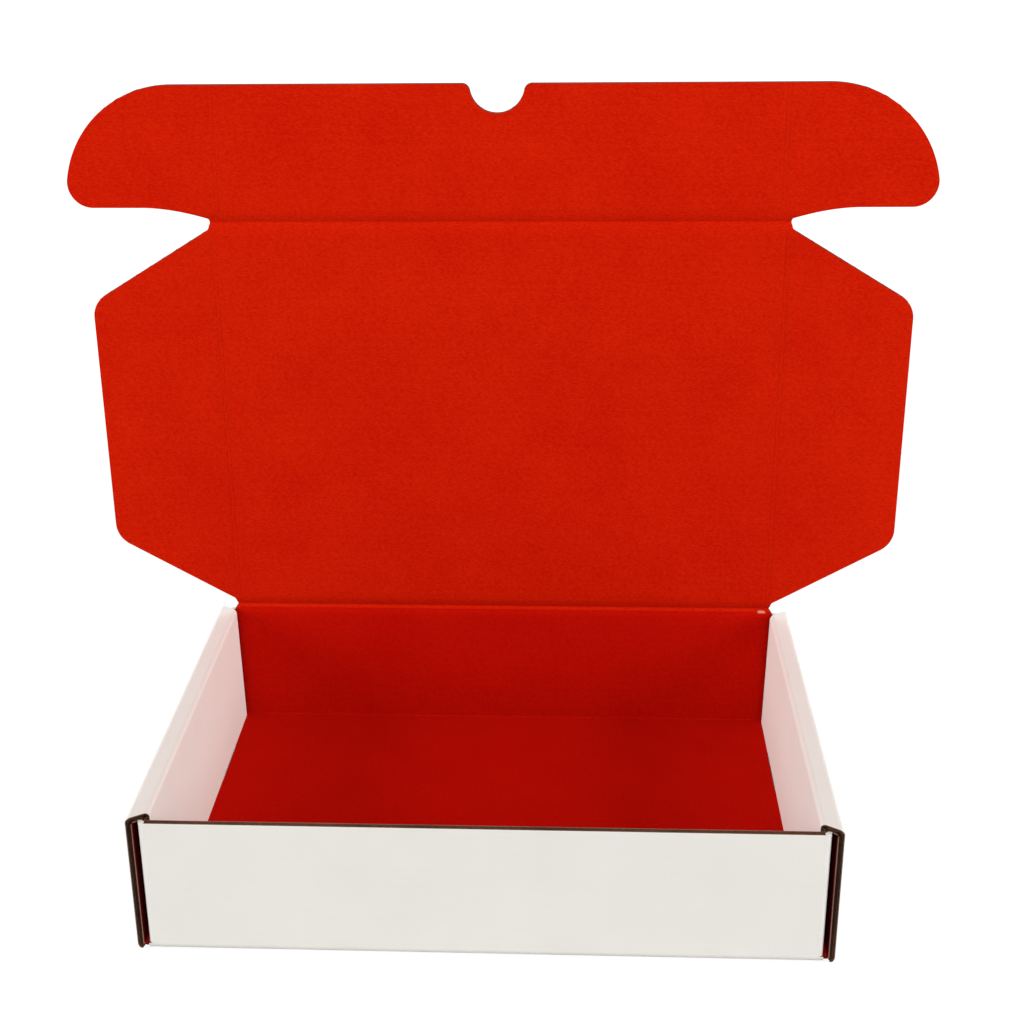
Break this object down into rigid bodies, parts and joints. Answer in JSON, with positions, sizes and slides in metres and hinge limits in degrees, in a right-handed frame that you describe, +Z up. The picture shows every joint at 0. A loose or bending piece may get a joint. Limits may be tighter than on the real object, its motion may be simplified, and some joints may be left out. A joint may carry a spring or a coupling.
{
  "type": "mailer box",
  "caption": "Roll-end mailer box folded from corrugated board, white outside and red inside, with a hinged lid, side flaps and a notched tuck flap with ears.",
  "frame": {"origin": "middle of the underside of the box, on the surface that it rests on", "axes": "+X to the right as seen from the front, along the longest extent; +Y from the front wall to the back wall; +Z up"},
  "size_m": [0.3216, 0.1624, 0.2609],
  "materials": {
    "white_liner": "matte",
    "red_liner": "matte",
    "kraft_medium": "matte"
  },
  "bodies": {
    "tray": {"tray": "white_liner"},
    "lid": {"lid_panel": "red_liner"},
    "left_side_flap": {"left_side_flap": "red_liner"},
    "right_side_flap": {"right_side_flap": "red_liner"},
    "tuck_flap": {"tuck_flap": "red_liner"},
    "left_ear": {"left_ear": "red_liner"},
    "right_ear": {"right_ear": "red_liner"}
  },
  "joints": [
    {"name": "lid_crease", "type": "hinge", "parent": "tray", "child": "lid", "pos_m": [0, 0.08015, 0.0528], "axis": [1, 0, 0], "range_deg": [-90, 90]},
    {"name": "left_side_crease", "type": "hinge", "parent": "lid", "child": "left_side_flap", "pos_m": [-0.1073, 0.08015, 0.13], "axis": [0, 0, 1], "range_deg": [0, 91.2]},
    {"name": "right_side_crease", "type": "hinge", "parent": "lid", "child": "right_side_flap", "pos_m": [0.1073, 0.08015, 0.13], "axis": [0, 0, -1], "range_deg": [0, 91.2]},
    {"name": "tuck_crease", "type": "hinge", "parent": "lid", "child": "tuck_flap", "pos_m": [0, 0.08015, 0.2106], "axis": [1, 0, 0], "range_deg": [0, 90]},
    {"name": "left_ear_crease", "type": "hinge", "parent": "tuck_flap", "child": "left_ear", "pos_m": [-0.1048, 0.08015, 0.238], "axis": [0, 0, 1], "range_deg": [0, 92]},
    {"name": "right_ear_crease", "type": "hinge", "parent": "tuck_flap", "child": "right_ear", "pos_m": [0.1048, 0.08015, 0.238], "axis": [0, 0, -1], "range_deg": [0, 92]}
  ]
}
